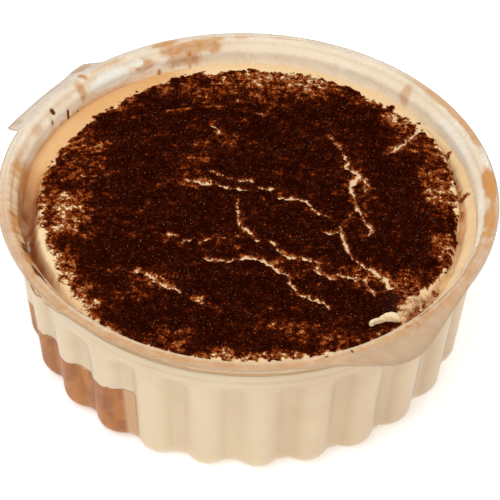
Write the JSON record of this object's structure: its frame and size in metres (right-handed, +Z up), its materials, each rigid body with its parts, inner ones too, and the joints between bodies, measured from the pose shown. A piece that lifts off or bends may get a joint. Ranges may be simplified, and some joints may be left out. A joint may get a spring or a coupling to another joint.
{
  "type": "tiramisu in a plastic tub",
  "caption": "Tiramisu in a round fluted clear tub with pull tabs: cream with soaked sponge at one side, a cracked cocoa top and a curl of cream.",
  "frame": {"origin": "centre of the tub's flat base, on the surface it stands on", "axes": "+Z up through the tub, -Y the side nearest the viewer, +X to the viewer's right"},
  "size_m": [0.142, 0.142, 0.0509],
  "materials": {
    "tub_plastic": "clear, slightly hazy thermoformed plastic",
    "cream": "soft mascarpone cream, with a dark brown cocoa dusting on top",
    "sponge": "coffee-soaked sponge, matt and moist",
    "curl_cream": "soft whipped cream"
  },
  "bodies": {
    "root": {"tub": "tub_plastic", "cream": "cream", "sponge": "sponge", "cream_curl": "curl_cream"}
  },
  "joints": []
}
